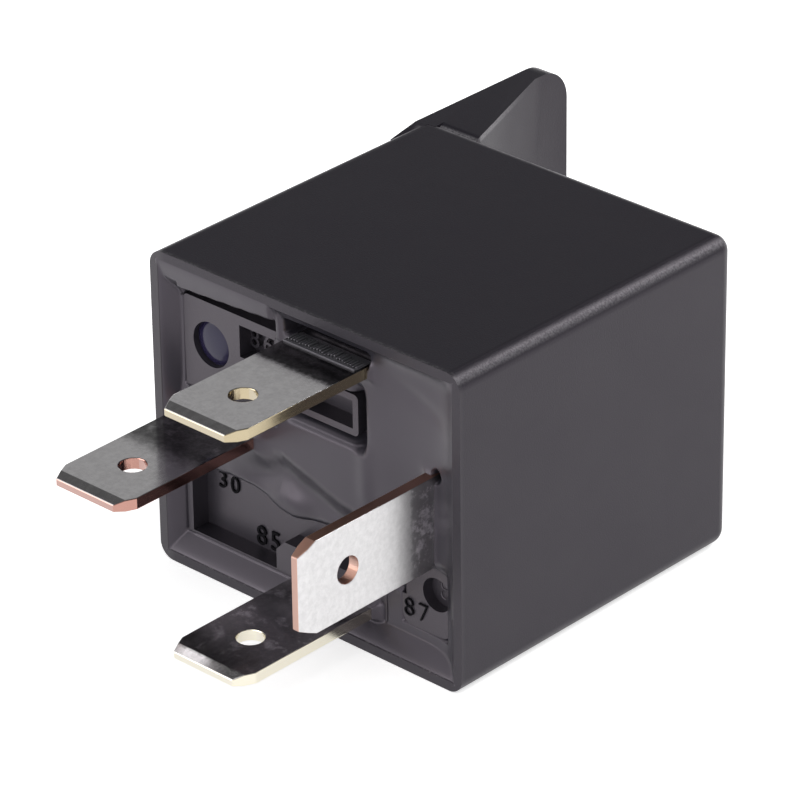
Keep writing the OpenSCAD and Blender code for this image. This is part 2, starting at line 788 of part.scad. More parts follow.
// Side view of the bent leaf: a leg on the yoke, a bend round the hinge and an arm on the armature
module spring_outline() {
    outer = spring_bend + spring_thickness;
    bend_x = hinge_x + spring_bend;
    difference() {
        union() {
            flat_box(hinge_x - spring_thickness, spring_leg_end, bend_x, spring_bend_y);
            translate([bend_x, spring_bend_y]) {
                circle(outer);
                rotate(open_angle) flat_box(0, 0, spring_arm, outer);
            }
        }
        flat_box(hinge_x, spring_leg_end - cut, bend_x + outer + cut, spring_bend_y);
        translate([bend_x, spring_bend_y]) {
            circle(spring_bend);
            rotate(open_angle) flat_box(0, -cut, spring_arm + cut, spring_bend);
        }
    }
}

// Contact spring, riveted to the yoke at one end and to the armature further on
module contact_spring() {
    color([0.80, 0.62, 0.36]) difference() {
        along_z(mid_z - spring_width / 2, mid_z + spring_width / 2) spring_outline();
        opened() {
            for (side = [-1, 1])
                rod_y(armature_rivet_x, mid_z + side * armature_rivet_spread / 2,
                      rivet_radius + rivet_fit, armature_y1 - cut, spring_y1 + cut);
            rod_y(contact_x, mid_z, contact_shank + rivet_fit, armature_y1 - cut, spring_y1 + cut);
        }
        for (side = [-1, 1])
            rod_x(spring_rivet_y, mid_z + side * spring_rivet_spread / 2, rivet_radius + rivet_fit,
                  hinge_x - spring_thickness - cut, hinge_x + cut);
    }
}

module armature_rivets() {
    color([0.74, 0.74, 0.76]) opened() for (side = [-1, 1]) {
        z = mid_z + side * armature_rivet_spread / 2;
        rod_y(armature_rivet_x, z, rivet_radius, armature_y0 + 0.05, spring_y1 + rivet_head / 2);
        rod_y(armature_rivet_x, z, rivet_head_radius, spring_y1, spring_y1 + rivet_head);
    }
}

module spring_rivets() {
    head_x = hinge_x - spring_thickness;
    color([0.74, 0.74, 0.76]) for (side = [-1, 1]) {
        z = mid_z + side * spring_rivet_spread / 2;
        rod_x(spring_rivet_y, z, rivet_radius, head_x - rivet_head / 2, hinge_x + yoke_thickness);
        rod_x(spring_rivet_y, z, rivet_head_radius, head_x - rivet_head, head_x);
    }
}

module moving_contact() {
    color([0.88, 0.88, 0.86]) opened() {
        rod_y(contact_x, mid_z, contact_diameter / 2, armature_y1 - contact_thickness, armature_y1);
        rod_y(contact_x, mid_z, contact_shank, armature_y1 - contact_thickness / 2,
              spring_y1 + back_head / 2);
        rod_y(contact_x, mid_z, contact_shank + contact_upset, spring_y1, spring_y1 + back_head);
    }
}

module fixed_contact() {
    color([0.88, 0.88, 0.86]) {
        rod_y(contact_x, mid_z, contact_diameter / 2, tab_y1, fixed_face);
        rod_y(contact_x, mid_z, contact_shank, tab_y0 - back_head / 2, tab_y1 + contact_thickness / 2);
        rod_y(contact_x, mid_z, contact_shank + contact_upset, tab_y0 - back_head, tab_y0);
    }
}

placed() cover();
placed() sealant();
placed() base();
placed() vent_plug();
placed() terminal_30();
placed() terminal_85();
placed() terminal_86();
placed() terminal_87();
placed() yoke();
placed() yoke_rivet();
placed() core();
placed() bobbin();
placed() winding();
placed() coil_leads();
placed() solder_joints();
placed() armature();
placed() contact_spring();
placed() armature_rivets();
placed() spring_rivets();
placed() moving_contact();
placed() fixed_contact();
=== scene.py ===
import json
import math

import bpy
from mathutils import Matrix, Vector, noise


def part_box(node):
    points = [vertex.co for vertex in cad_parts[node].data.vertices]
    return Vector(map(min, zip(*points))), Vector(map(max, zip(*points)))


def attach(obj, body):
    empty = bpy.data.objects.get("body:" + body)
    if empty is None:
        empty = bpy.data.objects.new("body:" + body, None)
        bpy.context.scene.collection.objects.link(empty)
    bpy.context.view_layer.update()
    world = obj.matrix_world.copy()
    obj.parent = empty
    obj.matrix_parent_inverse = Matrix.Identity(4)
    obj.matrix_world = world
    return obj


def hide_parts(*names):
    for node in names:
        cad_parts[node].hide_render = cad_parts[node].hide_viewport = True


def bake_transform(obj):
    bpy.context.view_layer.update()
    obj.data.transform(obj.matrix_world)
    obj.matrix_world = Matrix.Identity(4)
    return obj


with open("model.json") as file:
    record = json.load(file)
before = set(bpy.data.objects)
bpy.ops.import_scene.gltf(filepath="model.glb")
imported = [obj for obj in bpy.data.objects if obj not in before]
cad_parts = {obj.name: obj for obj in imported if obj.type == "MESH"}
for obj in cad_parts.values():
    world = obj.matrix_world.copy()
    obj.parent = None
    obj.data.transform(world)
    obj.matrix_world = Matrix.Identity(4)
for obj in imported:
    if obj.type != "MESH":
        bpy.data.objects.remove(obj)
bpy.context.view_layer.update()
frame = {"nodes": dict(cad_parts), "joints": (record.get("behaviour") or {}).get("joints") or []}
nodes = frame["nodes"]
mm = 0.001
coverLow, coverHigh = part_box("cover")
rimY = coverLow.y  # open end of the cover
midZ = (coverLow.z + coverHigh.z) / 2
halfHeight = (coverHigh.z - coverLow.z) / 2
print("relay: frame loaded with", len(nodes), "nodes")


def deselectAll():
    for o in list(bpy.context.selected_objects):
        o.select_set(False)


def makeActive(obj):
    deselectAll()
    obj.select_set(True)
    bpy.context.view_layer.objects.active = obj


def applyModifiers(obj):
    makeActive(obj)
    for m in list(obj.modifiers):
        bpy.ops.object.modifier_apply(modifier=m.name)


def placeInMesh(obj):
    # puts the object's place and turn into its mesh
    makeActive(obj)
    bpy.ops.object.transform_apply(location=True, rotation=True, scale=True)


def joinParts(parts):
    deselectAll()
    for part in parts:
        part.select_set(True)
    bpy.context.view_layer.objects.active = parts[0]
    bpy.ops.object.join()
    return parts[0]


def mergedCopy(nodeName, pieceName):
    # a copy of the CAD node whose flat faces are whole again
    obj = nodes[nodeName].copy()
    obj.data = nodes[nodeName].data.copy()
    obj.parent = None
    for key in list(obj.keys()):
        del obj[key]
    bpy.context.scene.collection.objects.link(obj)
    obj.name = pieceName
    obj.data.name = pieceName
    obj.data.materials.clear()
    makeActive(obj)
    bpy.ops.object.mode_set(mode="EDIT")
    bpy.ops.mesh.select_all(action="SELECT")
    bpy.ops.mesh.remove_doubles(threshold=0.002 * mm)
    bpy.ops.mesh.dissolve_limited(angle_limit=math.radians(0.8))
    bpy.ops.object.mode_set(mode="OBJECT")
    return obj


def roundEdges(obj, width, chosen):
    # a wide rounding on the edges whose two ends are chosen
    makeActive(obj)
    bpy.ops.object.mode_set(mode="EDIT")
    bpy.ops.mesh.select_all(action="DESELECT")
    bpy.ops.mesh.select_mode(type="EDGE")
    bpy.ops.object.mode_set(mode="OBJECT")
    for e in obj.data.edges:
        e.select = chosen(*(obj.data.vertices[i].co for i in e.vertices))
    bpy.ops.object.mode_set(mode="EDIT")
    bpy.ops.mesh.bevel(offset=width * mm, segments=6)
    bpy.ops.mesh.select_mode(type="VERT")
    bpy.ops.object.mode_set(mode="OBJECT")


def softenEdges(obj, width, steps, smoothAngle):
    # a small bevel on every sharp edge
    bevel = obj.modifiers.new("softEdges", "BEVEL")
    bevel.width = width * mm
    bevel.segments = steps
    bevel.limit_method = "ANGLE"
    bevel.angle_limit = math.radians(32)
    applyModifiers(obj)
    bpy.ops.object.shade_smooth_by_angle(angle=math.radians(smoothAngle))


def evenFaces(obj):
    # keeps flat faces flat beside their softened edges
    even = obj.modifiers.new("evenFaces", "WEIGHTED_NORMAL")
    even.keep_sharp = True
    even.weight = 90
    applyModifiers(obj)


def setMaterial(obj, material):
    obj.data.materials.clear()
    obj.data.materials.append(material)


def addNode(tree, kind, **values):
    node = tree.nodes.new(kind)
    for name, value in values.items():
        if name in node.inputs:
            node.inputs[name].default_value = value
        else:
            setattr(node, name, value)
    return node


def link(tree, fromSocket, toSocket):
    tree.links.new(fromSocket, toSocket)


def mathNode(tree, operation, *values):
    node = tree.nodes.new("ShaderNodeMath")
    node.operation = operation
    for socket, v in zip(node.inputs, values):
        if isinstance(v, (int, float)):
            socket.default_value = v
        else:
            link(tree, v, socket)
    return node.outputs[0]


def multiply(tree, first, *others):
    for other in others:
        first = mathNode(tree, "MULTIPLY", first, other)
    return first


def rampNode(tree, value, low, high, toLow=0.0, toHigh=1.0):
    node = tree.nodes.new("ShaderNodeMapRange")
    node.interpolation_type = "SMOOTHSTEP"
    link(tree, value, node.inputs["Value"])
    for name, v in (("From Min", low), ("From Max", high), ("To Min", toLow), ("To Max", toHigh)):
        node.inputs[name].default_value = v
    return node.outputs["Result"]


def splitVector(tree, vector):
    node = tree.nodes.new("ShaderNodeSeparateXYZ")
    link(tree, vector, node.inputs[0])
    return node.outputs


def noiseNode(tree, vector, scale, detail, roughness):
    node = addNode(tree, "ShaderNodeTexNoise", Scale=scale, Detail=detail, Roughness=roughness)
    link(tree, vector, node.inputs["Vector"])
    return node.outputs["Fac"]


def mixColors(tree, mask, first, second):
    node = tree.nodes.new("ShaderNodeMix")
    node.data_type = "RGBA"
    link(tree, mask, node.inputs["Factor"])
    colors = [s for s in node.inputs if s.type == "RGBA"]
    for socket, v in zip(colors, (first, second)):
        if isinstance(v, tuple):
            socket.default_value = (*v, 1)
        else:
            link(tree, v, socket)
    return [s for s in node.outputs if s.type == "RGBA"][0]


def makeGroup(name, inputs, outputs):
    tree = bpy.data.node_groups.new(name, "ShaderNodeTree")
    for socketName, kind, value in inputs:
        socket = tree.interface.new_socket(socketName, in_out="INPUT", socket_type=kind)
        if value is not None:
            socket.default_value = value
    for socketName, kind in outputs:
        tree.interface.new_socket(socketName, in_out="OUTPUT", socket_type=kind)
    return tree, tree.nodes.new("NodeGroupInput"), tree.nodes.new("NodeGroupOutput")


def useGroup(tree, group, vector, **values):
    node = tree.nodes.new("ShaderNodeGroup")
    node.node_tree = group
    link(tree, vector, node.inputs["Vector"])
    for name, v in values.items():
        node.inputs[name].default_value = v
    return node


def newMaterial(name, **values):
    material = bpy.data.materials.new(name)
    material.use_nodes = True
    tree = material.node_tree
    tree.nodes.clear()
    shader = tree.nodes.new("ShaderNodeBsdfPrincipled")
    output = tree.nodes.new("ShaderNodeOutputMaterial")
    link(tree, shader.outputs[0], output.inputs["Surface"])
    for socketName, v in values.items():
        shader.inputs[socketName.replace("_", " ")].default_value = v
    coordinates = tree.nodes.new("ShaderNodeTexCoord")
    return material, tree, shader, coordinates


def nodeOf(material, kind):
    return [n for n in material.node_tree.nodes if n.type == kind][0]


def paleWhere(material, mask, pale):
    # mixes a paler colour into the one that the material has
    socket = nodeOf(material, "BSDF_PRINCIPLED").inputs["Base Color"]
    plain = socket.links[0].from_socket
    link(material.node_tree, mixColors(material.node_tree, mask, plain, pale), socket)


def bumpNode(tree, height, strength, distance):
    bump = addNode(tree, "ShaderNodeBump", Strength=strength, Distance=distance * mm)
    link(tree, height, bump.inputs["Height"])
    return bump


# moulded grain: fine pits and a slow unevenness
grainGroup, groupIn, groupOut = makeGroup(
    "mouldedGrain",
    [("Vector", "NodeSocketVector", None), ("Size", "NodeSocketFloat", 9000.0),
     ("Uneven Size", "NodeSocketFloat", 260.0)],
    [("Fine", "NodeSocketFloat"), ("Uneven", "NodeSocketFloat")])
fine = addNode(grainGroup, "ShaderNodeTexNoise", Detail=3.0, Roughness=0.6)
slow = addNode(grainGroup, "ShaderNodeTexNoise", Detail=4.0, Roughness=0.55)
link(grainGroup, groupIn.outputs["Vector"], fine.inputs["Vector"])
link(grainGroup, groupIn.outputs["Vector"], slow.inputs["Vector"])
link(grainGroup, groupIn.outputs["Size"], fine.inputs["Scale"])
link(grainGroup, groupIn.outputs["Uneven Size"], slow.inputs["Scale"])
link(grainGroup, fine.outputs["Fac"], groupOut.inputs["Fine"])
link(grainGroup, slow.outputs["Fac"], groupOut.inputs["Uneven"])

# fine scratches that run mostly one way, set by how much the pattern is stretched
scratchGroup, groupIn, groupOut = makeGroup(
    "handlingScratches",
    [("Vector", "NodeSocketVector", None), ("Stretch", "NodeSocketVector", (1.0, 0.08, 1.0)),
     ("Size", "NodeSocketFloat", 2600.0)],
    [("Lines", "NodeSocketFloat"), ("Spots", "NodeSocketFloat")])
stretched = addNode(scratchGroup, "ShaderNodeVectorMath", operation="MULTIPLY")
link(scratchGroup, groupIn.outputs["Vector"], stretched.inputs[0])
link(scratchGroup, groupIn.outputs["Stretch"], stretched.inputs[1])
lines = addNode(scratchGroup, "ShaderNodeTexNoise", Detail=5.0, Roughness=0.75)
link(scratchGroup, stretched.outputs[0], lines.inputs["Vector"])
link(scratchGroup, groupIn.outputs["Size"], lines.inputs["Scale"])
spots = noiseNode(scratchGroup, groupIn.outputs["Vector"], 2400.0, 4.0, 0.7)
link(scratchGroup, rampNode(scratchGroup, lines.outputs["Fac"], 0.35, 0.65), groupOut.inputs["Lines"])
link(scratchGroup, rampNode(scratchGroup, spots, 0.3, 0.7), groupOut.inputs["Spots"])
print("relay: shared effects made")


def plasticMaterial(name, look):
    material, tree, shader, coordinates = newMaterial(
        name, Specular_Tint=(1.0, 0.88, 1.0, 1.0), Specular_IOR_Level=look["gloss"])
    grain = useGroup(tree, grainGroup, coordinates.outputs["Object"], Size=9000.0)
    link(tree, mixColors(tree, grain.outputs["Uneven"], look["dark"], look["color"]),
         shader.inputs["Base Color"])
    rough = mathNode(tree, "MULTIPLY_ADD", grain.outputs["Uneven"], 0.12, look["roughness"] - 0.06)
    link(tree, rough, shader.inputs["Roughness"])
    bump = bumpNode(tree, grain.outputs["Fine"], 0.6, look["grain"])
    link(tree, bump.outputs[0], shader.inputs["Normal"])
    return material


def metalMaterial(name, color, roughness, stretch):
    material, tree, shader, coordinates = newMaterial(name, Metallic=1.0)
    scratches = useGroup(tree, scratchGroup, coordinates.outputs["Object"], Stretch=stretch)
    link(tree, mixColors(tree, scratches.outputs["Spots"], color, tuple(0.85 * c for c in color)),
         shader.inputs["Base Color"])
    link(tree, rampNode(tree, scratches.outputs["Lines"], 0.0, 1.0, roughness - 0.06, roughness + 0.08),
         shader.inputs["Roughness"])
    bump = bumpNode(tree, scratches.outputs["Lines"], 0.2, 0.01)
    link(tree, bump.outputs[0], shader.inputs["Normal"])
    return material


# cover: black plastic with its bracket, softened all round, with painted highlights on its edges and rim
coverLook = {
    "color": (0.0096, 0.0085, 0.0138), "dark": (0.0077, 0.0068, 0.0112), "roughness": 0.42, "grain": 0.022,
    "gloss": 0.38,
    "scuffAndHighlightColor": (0.09, 0.088, 0.092), "scuffAndHighlightReach": (0.02, 0.40), "scuffAndHighlightLeft": 0.42, "scuffAndHighlightRight": 0.14,
    "edgeHighlightColor": (0.15, 0.145, 0.155), "gussetHighlightBand": (0.50, 0.28),
    "edgeWidth": 0.14, "edgeSteps": 5, "smoothAngle": 19, "rimWidth": 0.45, "rimWall": 0.7,
    "depth": 25.4, "gussetStep": 0.45, "match": 0.03,
}


def scuffAndHighlightRim(material, look):
    # pale band along the rim: scuffed specks where it faces upwards, and a painted highlight all round that
    # is stronger on the left wall
    tree = material.node_tree
    coordinates = nodeOf(material, "TEX_COORD")
    x, y, z = splitVector(tree, coordinates.outputs["Object"])
    upwards = splitVector(tree, coordinates.outputs["Normal"])["Z"]
    specks = noiseNode(tree, coordinates.outputs["Object"], 5200.0, 3.0, 0.7)
    start, end = (rimY + depth * mm for depth in look["scuffAndHighlightReach"])
    near = rampNode(tree, y, start, end, 1.0, 0.0)
    speckled = multiply(tree, rampNode(tree, specks, 0.48, 0.66, 0.0, 0.8), rampNode(tree, upwards, 0.2, 0.5))
    # painted highlight along the rim, stronger on the left wall
    wall = look["rimWall"] * mm
    scuffAndHighlightBand = rampNode(tree, x, coverLow.x + wall, coverLow.x + 2 * wall,
                       look["scuffAndHighlightLeft"], look["scuffAndHighlightRight"])
    mask = multiply(tree, near, mathNode(tree, "MAXIMUM", speckled, scuffAndHighlightBand))
    paleWhere(material, mask, look["scuffAndHighlightColor"])


def paintEdgeHighlights(material, look):
    # painted highlights on the rounded edges on the right, behind and along the gussets, in fine specks
    tree = material.node_tree
    coordinates = nodeOf(material, "TEX_COORD")
    x, y, z = splitVector(tree, coordinates.outputs["Normal"])
    height = splitVector(tree, coordinates.outputs["Object"])["Z"]
    specks = noiseNode(tree, coordinates.outputs["Object"], 7000.0, 2.0, 0.7)
    right = multiply(tree, rampNode(tree, z, 0.35, 0.6), rampNode(tree, z, 0.9, 0.75),
                     rampNode(tree, x, 0.25, 0.4))
    fromMiddle = mathNode(tree, "ABSOLUTE", mathNode(tree, "SUBTRACT", height, midZ))
    start, end = (halfHeight - inset * mm for inset in look["gussetHighlightBand"])
    gusset = multiply(tree, rampNode(tree, fromMiddle, start, end), rampNode(tree, x, 0.85, 0.92),
                      rampNode(tree, y, 0.15, 0.3))
    behind = multiply(tree, rampNode(tree, z, 0.5, 0.7), rampNode(tree, z, 0.99, 0.94),
                      rampNode(tree, x, 0.3, 0.1), rampNode(tree, y, -0.62, -0.48))
    # painted highlights where the edges would catch the light
    edgeHighlights = mathNode(tree, "ADD", mathNode(tree, "MAXIMUM", multiply(tree, right, 0.6), gusset), behind)
    mask = multiply(tree, edgeHighlights, rampNode(tree, specks, 0.35, 0.6, 0.35, 1.0))
    paleWhere(material, mask, look["edgeHighlightColor"])


def insideRim(a, b):
    # true for the inner edge of the open end
    wall = coverLook["rimWall"] * mm
    match = coverLook["match"] * mm
    return all(abs(co.y - rimY) < match and abs(co.x) < coverHigh.x - wall
               and abs(co.z - midZ) < halfHeight - wall for co in (a, b))


def slopeGussetFeet(obj):
    # the low step at the gussets' feet becomes a slope behind the rounded edge
    match = coverLook["match"] * mm
    closedEnd = rimY + coverLook["depth"] * mm
    stepY = closedEnd - coverLook["gussetStep"] * mm
    for v in obj.data.vertices:
        if abs(abs(v.co.z - midZ) - halfHeight) < match and abs(v.co.y - stepY) < match:
            v.co.y = closedEnd


coverPlastic = plasticMaterial("coverPlastic", coverLook)
scuffAndHighlightRim(coverPlastic, coverLook)
paintEdgeHighlights(coverPlastic, coverLook)
setMaterial(nodes["cover"], coverPlastic)
cover = mergedCopy("cover", "coverShell")
slopeGussetFeet(cover)
roundEdges(cover, coverLook["rimWidth"], insideRim)
softenEdges(cover, coverLook["edgeWidth"], coverLook["edgeSteps"], coverLook["smoothAngle"])
evenFaces(cover)
setMaterial(cover, coverPlastic)
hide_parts("cover")
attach(cover, "relay")
print("relay: cover", len(cover.data.polygons), "faces")

# base: grey-black carrier, with the bottom of the small round hole beside the side blade
baseLook = {"color": (0.0225, 0.0212, 0.0262), "dark": (0.0184, 0.0172, 0.0214), "roughness": 0.38,
            "grain": 0.02, "gloss": 0.7}
hole = {"x": 10.08, "z": 5.6, "radius": 1.13, "depth": 2.0, "thickness": 0.4,
        "ringRadius": 0.34, "ringThickness": 0.075, "ringRise": 0.32, "ringDepth": 1.8}
basePlastic = plasticMaterial("basePlastic", baseLook)
setMaterial(nodes["base"], basePlastic)
deselectAll()
bpy.ops.mesh.primitive_cylinder_add(
    vertices=48, radius=hole["radius"] * mm, depth=hole["thickness"] * mm, rotation=(math.pi / 2, 0, 0),
    location=(hole["x"] * mm, rimY + hole["depth"] * mm, hole["z"] * mm))
disc = bpy.context.active_object
disc.name = "holeBottom"
rings = []
for rise in (hole["ringRise"], -hole["ringRise"]):
    deselectAll()
    bpy.ops.mesh.primitive_torus_add(
        major_radius=hole["ringRadius"] * mm, minor_radius=hole["ringThickness"] * mm,
        major_segments=32, minor_segments=10, rotation=(math.pi / 2, 0, 0),
        location=(hole["x"] * mm, rimY + hole["ringDepth"] * mm, (hole["z"] + rise) * mm))
    rings.append(bpy.context.active_object)
joinParts([disc] + rings)
placeInMesh(disc)
bpy.ops.object.shade_smooth_by_angle(angle=math.radians(40))
setMaterial(disc, basePlastic)
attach(disc, "relay")
print("relay: base and hole bottom")

# terminal numbers, raised on the floors of their labels
numbersLook = {"color": (0.006, 0.006, 0.007), "dark": (0.004, 0.004, 0.005), "roughness": 0.6,
               "grain": 0.01, "gloss": 0.05}
numbers = {
    "height": 0.07, "sink": 0.05, "spacing": 1.25, "capHeight": 0.72,
    "places": {"30": (-8.9, 2.33, 5.81), "85": (-5.5, 2.33, 3.0),
               "86": (-5.4, 2.1, 17.2), "87": (8.4, 1.0, 3.85)},
    "sizes": {"30": 1.25, "85": 1.4, "86": 1.35, "87": 1.35},
    "bold": {"30": -0.005, "85": 0.0, "86": 0.0, "87": -0.04},
}
labelMarks = plasticMaterial("labelMarks", numbersLook)


def addNumber(text, material):
    x, depth, z = numbers["places"][text]
    deselectAll()
    bpy.ops.object.text_add(location=(0, 0, 0))
    number = bpy.context.active_object
    number.data.body = text
    number.data.size = numbers["sizes"][text] * mm / numbers["capHeight"]
    number.data.extrude = numbers["height"] * mm
    number.data.offset = numbers["bold"][text] * mm
    number.data.align_x = "CENTER"
    number.data.align_y = "CENTER"
    number.data.space_character = numbers["spacing"]
    number.data.resolution_u = 3
    bpy.ops.object.convert(target="MESH")
    number = bpy.context.active_object
    number.name = "number" + text
    number.rotation_euler = (math.pi / 2, 0, 0)
    number.location = (x * mm, rimY + (depth - numbers["sink"]) * mm, z * mm)
    placeInMesh(number)
    setMaterial(number, material)
    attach(number, "relay")


for text in ("30", "85", "87"):
    addNumber(text, labelMarks)
addNumber("86", basePlastic)  # it lies in the shade of its blade
print("relay: terminal numbers")

# vent film, bulged over its plug
vent = {"color": (0.014, 0.011, 0.036), "light": (0.020, 0.017, 0.046), "roughness": 0.16, "gloss": 0.3,
        "radius": 1.5, "bulge": 0.30, "sink": 0.05}


def ventMaterial():
    material, tree, shader, coordinates = newMaterial(
        "ventFilm", Roughness=vent["roughness"], Specular_IOR_Level=vent["gloss"])
    grain = useGroup(tree, grainGroup, coordinates.outputs["Object"], Size=5000.0)
    link(tree, mixColors(tree, grain.outputs["Uneven"], vent["color"], vent["light"]),
         shader.inputs["Base Color"])
    return material


ventFilm = ventMaterial()
setMaterial(nodes["vent_plug"], ventFilm)
plugLow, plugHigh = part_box("vent_plug")
plugMiddle = (plugLow + plugHigh) / 2
deselectAll()
bpy.ops.mesh.primitive_uv_sphere_add(segments=64, ring_count=32, radius=1)
dome = bpy.context.active_object
dome.name = "ventDome"
dome.scale = (vent["radius"] * mm, vent["bulge"] * mm, vent["radius"] * mm)
dome.location = (plugMiddle.x, plugLow.y + vent["sink"] * mm, plugMiddle.z)
placeInMesh(dome)
bpy.ops.object.shade_smooth()
setMaterial(dome, ventFilm)
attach(dome, "relay")
print("relay: vent film")

# blades: tinned faces, bare metal where they were cut, and darker towards the root, partly stains and partly
# a painted dark reflection
bladeShape = {"edgeWidth": 0.06, "edgeSteps": 2, "smoothAngle": 8}
bladeLooks = {
    "terminal_30": {
        "material": "tinnedCopper30", "slot": "tinned_copper", "face": "Z", "roughness": 0.14,
        "tin": (0.98, 0.96, 0.97), "edge": (0.44, 0.24, 0.20), "rootStainAndReflection": (0.16, 0.156, 0.16),
        "dip": (5.6, 3.6)},
    "terminal_87": {
        "material": "tinnedCopper87", "slot": "tinned_copper", "face": "X", "roughness": 0.34,
        "tin": (0.64, 0.63, 0.635), "edge": (0.50, 0.29, 0.23), "rootStainAndReflection": (0.36, 0.35, 0.36),
        "dip": (1.6, 1.2)},
    "terminal_85": {
        "material": "tinnedBrass85", "slot": "tinned_brass", "face": "Z", "roughness": 0.18,
        "tin": (0.98, 0.96, 0.97), "edge": (0.78, 0.74, 0.62), "rootStainAndReflection": (0.42, 0.41, 0.41),
        "dip": (10.6, 10.3)},
    "terminal_86": {
        "material": "tinnedBrass86", "slot": "tinned_brass", "face": "Z", "roughness": 0.16,
        "tin": (0.98, 0.96, 0.97), "edge": (0.46, 0.39, 0.26), "rootStainAndReflection": (0.10, 0.10, 0.10),
        "dip": (3.0, 2.4)},
}


def bladeMaterial(look):
    material, tree, shader, coordinates = newMaterial(look["material"], Metallic=1.0)
    place = coordinates.outputs["Object"]
    tin, edge, rootStainAndReflection = look["tin"], look["edge"], look["rootStainAndReflection"]
    scratches = useGroup(tree, scratchGroup, place)
    facing = splitVector(tree, coordinates.outputs["Normal"])
    cutEdge = rampNode(tree, mathNode(tree, "ABSOLUTE", facing[look["face"]]), 0.62, 0.42)
    tipFace = rampNode(tree, facing["Y"], -0.9, -0.97)
    wavy = multiply(tree, scratches.outputs["Spots"], 0.0002)
    # darker towards the root: stains, and a painted dark reflection
    start, end = (rimY - reach * mm for reach in look["dip"])
    dip = rampNode(tree, mathNode(tree, "ADD", splitVector(tree, place)["Y"], wavy), start, end)
    speckle = rampNode(tree, scratches.outputs["Spots"], 0.2, 0.8, 0.9, 1.0)
    blots = rampNode(tree, noiseNode(tree, place, 650.0, 5.0, 0.7), 0.52, 0.66)
    tinned = mixColors(tree, scratches.outputs["Spots"], tin, tuple(0.86 * c for c in tin))
    rootStainAndReflectionPatches = mixColors(tree, blots, rootStainAndReflection, tuple(2.4 * c for c in rootStainAndReflection))
    faces = mixColors(tree, multiply(tree, dip, speckle), tinned, rootStainAndReflectionPatches)
    bare = mixColors(tree, tipFace, edge, tuple(0.8 * e + 0.12 * t for e, t in zip(edge, tin)))
    link(tree, mixColors(tree, cutEdge, faces, bare), shader.inputs["Base Color"])
    rough = mathNode(tree, "MULTIPLY_ADD", scratches.outputs["Lines"], 0.06, look["roughness"] - 0.03)
    link(tree, rough, shader.inputs["Roughness"])
    bump = bumpNode(tree, scratches.outputs["Lines"], 0.03, 0.01)
    link(tree, bump.outputs[0], shader.inputs["Normal"])
    return material


for nodeName, look in bladeLooks.items():
    metal = bladeMaterial(look)
    setMaterial(nodes[nodeName], metal)
    blade = mergedCopy(nodeName, "blade" + nodeName[-2:])
    softenEdges(blade, bladeShape["edgeWidth"], bladeShape["edgeSteps"], bladeShape["smoothAngle"])
    evenFaces(blade)
    setMaterial(blade, metal)
    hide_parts(nodeName)
    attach(blade, "relay")
    print("relay:", blade.name, len(blade.data.polygons), "faces")

# potting resin: one skin that climbs the walls and the blades and leaves the islands open
# places are in mm as x, z across the open end, and depths run from its rim into the cover
resin = {
    "dark": (0.0215, 0.0202, 0.026), "light": (0.0273, 0.0257, 0.0333), "gloss": 0.58,
    "left": -12.75, "right": 12.75, "low": 0.25, "high": 21.75, "steps": (270, 226), "corner": 1.0,
    "back": 2.75, "thickness": 0.3, "rim": -0.006, "flush": 0.985,
    "open": [(-11.12, 12.73, -2.86, 19.07), (-2.02, 13.78, 4.14, 17.47), (7.23, 2.63, 11.17, 7.42)],
    "pocket": (-11.37, 2.08, 5.87, 12), "dam": (-11.37, 2.08, -10.9, 10.6), "pocketDepth": 2.45,
    "well": (-1.75, 19.75, 4.95, 20.45), "blowHole": (10.5, 14.15),
    "lobe": [(-11.2, 6.7), (-9.74, 6.62), (-7.69, 6.80), (-6.01, 6.71), (-4.68, 6.36), (-3.69, 5.93),
             (-2.53, 5.68), (-0.87, 6.03), (1.2, 6.25), (3.4, 6.5), (6.4, 6.6)],
    "valley": [(-7.5, 7.8), (-5.7, 8.05), (-4.2, 8.5), (-3.3, 9.0), (-2.6, 9.1), (-1.8, 8.8), (-0.4, 8.4),
               (1.0, 7.9), (2.2, 7.55), (4.6, 7.2)],
    "blades": [(-10.95, 10.6, -4.65, 11.4, 0.35, 0.7), (-1.15, 2.2, 5.15, 3.0, 0.0, 0.4),
               (-1.05, 19.0, 5.25, 19.8, 0.35, 0.35), (9.6, 7.85, 10.4, 14.15, 0.2, 0.3)],
}


def resinMaterial():
    material, tree, shader, coordinates = newMaterial(
        "pottingResin", Specular_Tint=(1.0, 0.88, 1.0, 1.0), Specular_IOR_Level=resin["gloss"])
    grain = useGroup(tree, grainGroup, coordinates.outputs["Object"], Size=2600.0)
    grain.inputs["Uneven Size"].default_value = 420.0
    link(tree, mixColors(tree, grain.outputs["Uneven"], resin["dark"], resin["light"]),
         shader.inputs["Base Color"])
    link(tree, rampNode(tree, grain.outputs["Uneven"], 0.3, 0.7, 0.28, 0.38), shader.inputs["Roughness"])
    waves = bumpNode(tree, grain.outputs["Uneven"], 0.15, 0.05)
    pits = bumpNode(tree, grain.outputs["Fine"], 0.1, 0.012)
    link(tree, waves.outputs[0], pits.inputs["Normal"])
    link(tree, pits.outputs[0], shader.inputs["Normal"])
    return material


def ease(low, high, t):
    t = min(max((t - low) / (high - low), 0.0), 1.0)
    return t * t * (3 - 2 * t)


def bell(t, width):
    return math.exp(-(t / width) ** 2)


def along(points, x):
    # height of the polyline at x
    if x <= points[0][0]:
        return points[0][1]
    for (xa, za), (xb, zb) in zip(points, points[1:]):
        if x <= xb:
            return za + (zb - za) * (x - xa) / (xb - xa)
    return points[-1][1]


def smoothMin(a, b, blend):
    h = max(blend - abs(a - b), 0) / blend
    return min(a, b) - h * h * blend / 4


def boxGap(x, z, box):
    # distance to the rectangle, negative inside it
    dx = max(box[0] - x, x - box[2])
    dz = max(box[1] - z, z - box[3])
    return math.hypot(max(dx, 0), max(dz, 0)) if max(dx, dz) > 0 else max(dx, dz)


